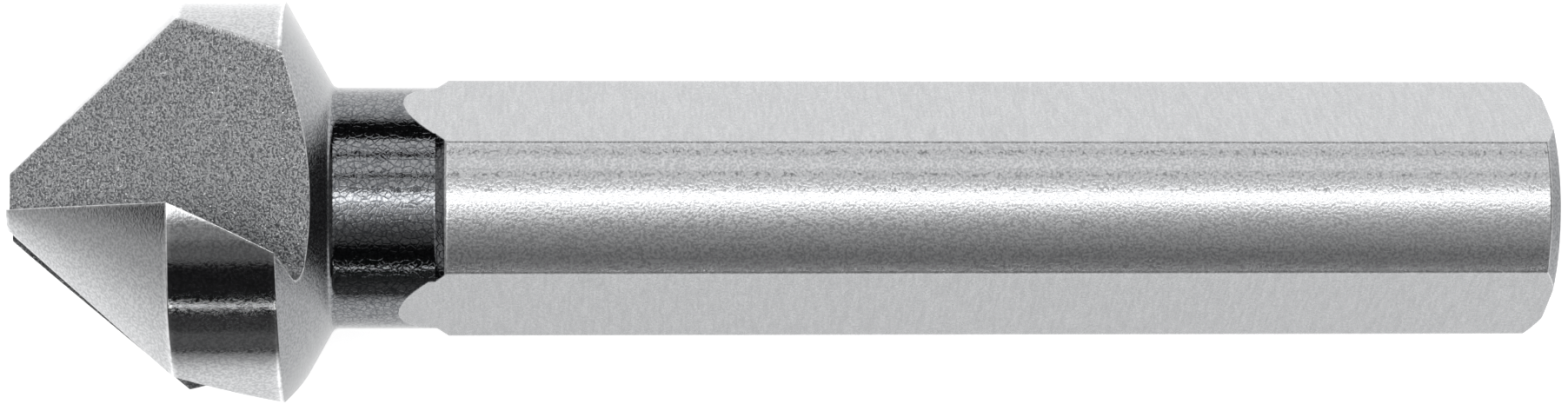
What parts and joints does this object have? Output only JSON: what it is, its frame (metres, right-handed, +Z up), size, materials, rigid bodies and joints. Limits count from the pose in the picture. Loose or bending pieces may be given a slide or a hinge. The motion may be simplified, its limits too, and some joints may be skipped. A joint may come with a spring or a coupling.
{
  "type": "countersink bit",
  "caption": "Ground steel countersinking cutter: a fluted cone head with relieved cutting edges and a slim neck, on a straight shank with flats for a drill chuck.",
  "frame": {"origin": "on the surface that the bit lies on, below the middle of its bounding box", "axes": "+Z up, +X from the cutting tip towards the shank's end. As the bit rests, its own axis dips by 4.2 degrees towards the shank's end"},
  "size_m": [0.0602, 0.0156, 0.0164],
  "materials": {
    "countersink_bit": "ground"
  },
  "bodies": {
    "root": {"countersink_bit": "countersink_bit"}
  },
  "joints": []
}
